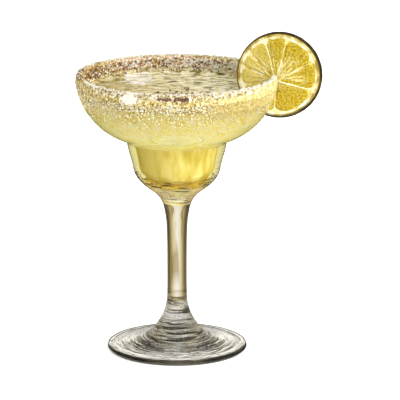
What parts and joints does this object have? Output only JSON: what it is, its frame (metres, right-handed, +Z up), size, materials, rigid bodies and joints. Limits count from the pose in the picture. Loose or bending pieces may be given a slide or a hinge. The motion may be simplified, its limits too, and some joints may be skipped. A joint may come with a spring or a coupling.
{
  "type": "margarita cocktail",
  "caption": "Prepared margarita in a stemmed cocktail glass with a stepped bowl, a salted rim and a lime wheel slotted over the rim.",
  "frame": {"origin": "centre of the foot's flat underside, which is on the glass's own axis", "axes": "+Z up along the stem, +X from the axis towards the lime wheel, and -Y towards the viewer of the picture"},
  "size_m": [0.1445, 0.1203, 0.1904],
  "materials": {
    "clear_glass": "clear fire-polished glass",
    "margarita_mix": "cloudy pale yellow liquid",
    "lime_fruit": "moist cut fruit with a dark green rind",
    "coarse_salt": "caked coarse crystals"
  },
  "bodies": {
    "root": {"margarita_glass": "clear_glass", "margarita_drink": "margarita_mix", "lime_wheel": "lime_fruit", "salt_rim": "coarse_salt"}
  },
  "joints": []
}
